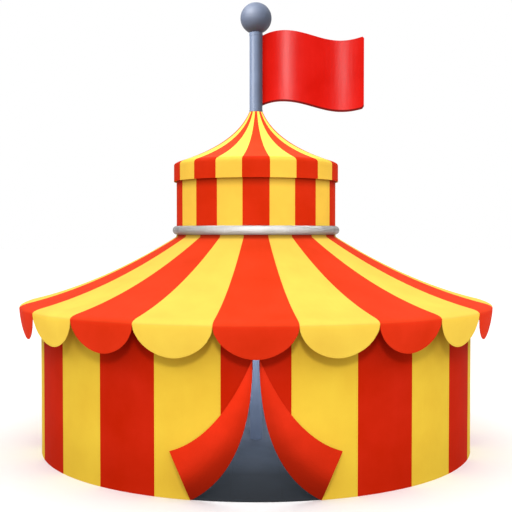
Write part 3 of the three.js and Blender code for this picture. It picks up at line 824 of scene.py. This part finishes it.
def make_ball():
    """Two pressed shells with a welded joint round the middle, on a flat seat."""
    centre = ball_high.z - BALL_RADIUS
    bpy.ops.object.select_all(action="DESELECT")
    bpy.ops.mesh.primitive_uv_sphere_add(segments=64, ring_count=32, radius=BALL_RADIUS,
                                         location=(0, 0, centre))
    ball = bpy.context.active_object
    bpy.ops.object.transform_apply(location=True, rotation=True, scale=True)
    bpy.ops.object.mode_set(mode="EDIT")
    bpy.ops.mesh.select_all(action="SELECT")
    bpy.ops.mesh.bisect(plane_co=(0, 0, ball_low.z), plane_no=(0, 0, -1), clear_outer=True,
                        use_fill=True)
    bpy.ops.object.mode_set(mode="OBJECT")
    half, depth = BALL_JOINT
    collar(ball, centre - half, centre + half, depth)
    round_ends(ball)
    finish_steel(ball, "ball_finial_shell", BALL_ENAMEL)
    keep(ball, "ball_finial")


RING_SEGMENTS = 176
RING_SLEEVES = 8
SLEEVE_RISE = 0.003


def make_ring():
    """The rolled tube in eighths, with a sleeve over each joint between two of them."""
    bpy.ops.object.select_all(action="DESELECT")
    bpy.ops.mesh.primitive_torus_add(
        major_segments=RING_SEGMENTS, minor_segments=24, major_radius=ring_high.x - RING_TUBE,
        minor_radius=RING_TUBE, location=(0, 0, RING_HEIGHT))
    ring = bpy.context.active_object
    bpy.ops.object.transform_apply(location=True, rotation=True, scale=True)

    def in_sleeve(face):
        turn = math.atan2(face.center.y, face.center.x) * RING_SLEEVES / (2 * math.pi)
        from_joint = abs(turn % 1 - 0.5) / RING_SLEEVES * RING_SEGMENTS
        return from_joint < 1

    select_faces(ring, in_sleeve)
    bpy.ops.mesh.inset(thickness=EDGE_ROUNDING, depth=SLEEVE_RISE)
    bpy.ops.object.mode_set(mode="OBJECT")
    finish_steel(ring, "crown_ring_tube", WHITE_ENAMEL)
    keep(ring, "crown_ring")


def finish_frame_nodes():
    """The steel inside and the floor keep their solids and take their finishes."""
    for name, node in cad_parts.items():
        steel = name in ("crown_frame", "wall_rail") or name.startswith("side_pole")
        if steel or name == "floor":
            node.data.materials.clear()
            node.data.materials.append(GALVANISED if steel else FLOOR_MAT)


# Studio
CAMERA_BACK = 26.0
CAMERA_HEIGHT = 6.0775
CAMERA_DIP = 0.0259  # radians below level
CAMERA_LENS = 62.43
GROUND_RADIUS = 300
GROUND_DROP = 0.002  # the studio floor lies this far below the tent's own


def make_camera():
    lens = bpy.data.cameras.new("camera")
    lens.lens = CAMERA_LENS
    lens.sensor_width = 36
    lens.clip_end = 500
    camera = bpy.data.objects.new("camera", lens)
    camera.location = (0, -CAMERA_BACK, CAMERA_HEIGHT)
    camera.rotation_euler = (math.pi / 2 - CAMERA_DIP, 0, 0)
    bpy.context.scene.collection.objects.link(camera)
    bpy.context.scene.camera = camera


def area_light(name, location, target, size, power, height=None, only=None, spread=180):
    """A soft lamp aimed at a point. only names the pieces that it lights, if not all. spread is
    the angle of its beam in degrees."""
    data = bpy.data.lights.new(name, "AREA")
    data.energy = power
    data.size = size
    data.spread = math.radians(spread)
    if height:
        data.shape = "RECTANGLE"
        data.size_y = height
    lamp = bpy.data.objects.new(name, data)
    lamp.location = location
    aim = Vector(target) - Vector(location)
    lamp.rotation_euler = aim.to_track_quat("-Z", "Y").to_euler()
    lamp.visible_camera = False
    bpy.context.scene.collection.objects.link(lamp)
    if only:
        group = bpy.data.collections.new(name)
        for piece in only:
            group.objects.link(bpy.data.objects[piece])
        lamp.light_linking.receiver_collection = group
    return lamp


# Brightness of the studio sky by the sine of the height above level
SKY_PEAK = 2.8
SKY = ((-1.0, 0.25), (0.03, 0.25), (0.1, 2.8), (0.38, 2.8), (0.52, 0.78), (1.0, 0.78))


def sky_stop(height, bright):
    """A stop on the sky's ramp: its place from 0 straight down to 1 straight up, and its grey."""
    return (height + 1) / 2, (bright / SKY_PEAK,) * 3 + (1.0,)


def make_sky():
    """A white studio sky, brighter in a low band all round, and plain white to the camera."""
    world = bpy.data.worlds.new("studio")
    bpy.context.scene.world = world
    world.use_nodes = True
    tree = world.node_tree
    tree.nodes.clear()
    spot = add(tree, "ShaderNodeTexCoord")
    split = add(tree, "ShaderNodeSeparateXYZ", {"Vector": spot.outputs["Generated"]})
    rise = add(tree, "ShaderNodeMapRange", {"Value": split.outputs["Z"], "From Min": -1.0})
    level = add(tree, "ShaderNodeValToRGB", {"Fac": rise.outputs["Result"]})
    stops = level.color_ramp.elements
    stops[0].position, stops[0].color = sky_stop(*SKY[0])
    stops[1].position, stops[1].color = sky_stop(*SKY[-1])
    for height, bright in SKY[1:-1]:
        stop = stops.new(0.5)
        stop.position, stop.color = sky_stop(height, bright)
    lit = add(tree, "ShaderNodeBackground", {"Color": level.outputs["Color"], "Strength": SKY_PEAK})
    seen = add(tree, "ShaderNodeBackground", {"Color": (1, 1, 1, 1), "Strength": 1.0})
    ray = add(tree, "ShaderNodeLightPath")
    mix = add(tree, "ShaderNodeMixShader",
              {0: ray.outputs["Is Camera Ray"], 1: lit.outputs[0], 2: seen.outputs[0]})
    add(tree, "ShaderNodeOutputWorld", {"Surface": mix.outputs[0]})


def make_ground():
    bpy.ops.object.select_all(action="DESELECT")
    bpy.ops.mesh.primitive_circle_add(vertices=96, radius=GROUND_RADIUS, fill_type="NGON",
                                      location=(0, 0, -GROUND_DROP))
    ground = bpy.context.active_object
    ground.name = "studio_floor"
    made, tree = new_material("studio_floor_white")
    spot = add(tree, "ShaderNodeTexCoord")
    grain = add(tree, "ShaderNodeTexNoise", {"Vector": spot.outputs["Object"], "Scale": 4.0})
    tone = add(tree, "ShaderNodeValToRGB", {"Fac": grain.outputs["Fac"]})
    tone.color_ramp.elements[0].color = (0.93, 0.93, 0.93, 1)
    tone.color_ramp.elements[1].color = (0.95, 0.95, 0.95, 1)
    shade(tree, Base_Color=tone.outputs["Color"], Roughness=0.9, Specular_IOR_Level=0.1)
    ground.data.materials.append(made)
    ground.visible_diffuse = False  # its white would light the tent from below


def make_lights():
    make_sky()
    area_light("top_light", (0, 0, 30), (0, 0, 0), 24, 600)
    area_light("front_light", (0, -34, 18), (0, 0, 4), 4, 3200)
    canopy = [f"canopy_cloth_{k + 1:02d}" for k in range(GORES)]
    for side, name in ((-1, "left"), (1, "right")):
        area_light(f"valance_light_{name}", (side * 22, -9, 1.5), (side * 6.2, -2.6, 3.7), 3, 640,
                   only=canopy)
    area_light("pole_light", (-9.75, -6.6, 12.8), (0, 0, 10.5), 2, 3300, only=["centre_pole_tube"])
    area_light("ball_light", (-5, -6, 18.5), (0, 0, 12.3), 3, 2100, only=["ball_finial_shell"])
    ball_glint = area_light("ball_glint", (-7, -4.6, 19.6), (0, 0, 12.3), 8, 2900,
                            only=["ball_finial_shell"])
    flag_glint = area_light("flag_glint", (1.6, -14.4, 13.8), (-2.8, 0, 10.8), 7, 6200, height=8,
                            only=["flag_cloth"], spread=60)
    for glint in (ball_glint, flag_glint):
        glint.visible_diffuse = False  # it only gives the surface its sheen
    for side, name, power in ((-1, "left", 390), (1, "right", 190)):
        area_light(f"flap_light_{name}", (side * 6, -12, 6), (side * 1.3, -6.3, 0.9), 2, power,
                   only=[f"door_flap_cloth_{name}"])
    for side, name in ((-1, "front"), (1, "back")):
        area_light(f"ring_light_{name}", (0, side * 16, 22), (0, side * 2.4, 6.2), 2.5, 114,
                   only=["crown_ring_tube"], spread=17)
        area_light(f"ring_fill_{name}", (0, side * 18, 1.2), (0, side * 2.4, 6.1), 2.5, 66,
                   only=["crown_ring_tube"], spread=24)
    for side, name in ((-1, "left"), (1, "right")):
        area_light(f"inside_pole_light_{name}", (side * 3.9, -2.25, 3.8), (0, 0, 3.2), 1.2, 300,
                   only=["centre_pole_tube"], spread=130)
    area_light("inside_front_light", (0, -5, 4.0), (0, 2, 0), 1.5, 220)
    area_light("inside_back_light", (0, 1.5, 4.4), (0, 6, 1), 1.5, 140)


def make_tent():
    make_canopy()
    make_crown_roof()
    make_crown_wall()
    make_walls()
    make_flap(1)
    make_flap(-1)
    make_flag()
    make_pole()
    make_ball()
    make_ring()
    finish_frame_nodes()


make_camera()
make_tent()
make_ground()
make_lights()
bpy.context.scene.view_settings.view_transform = "Standard"
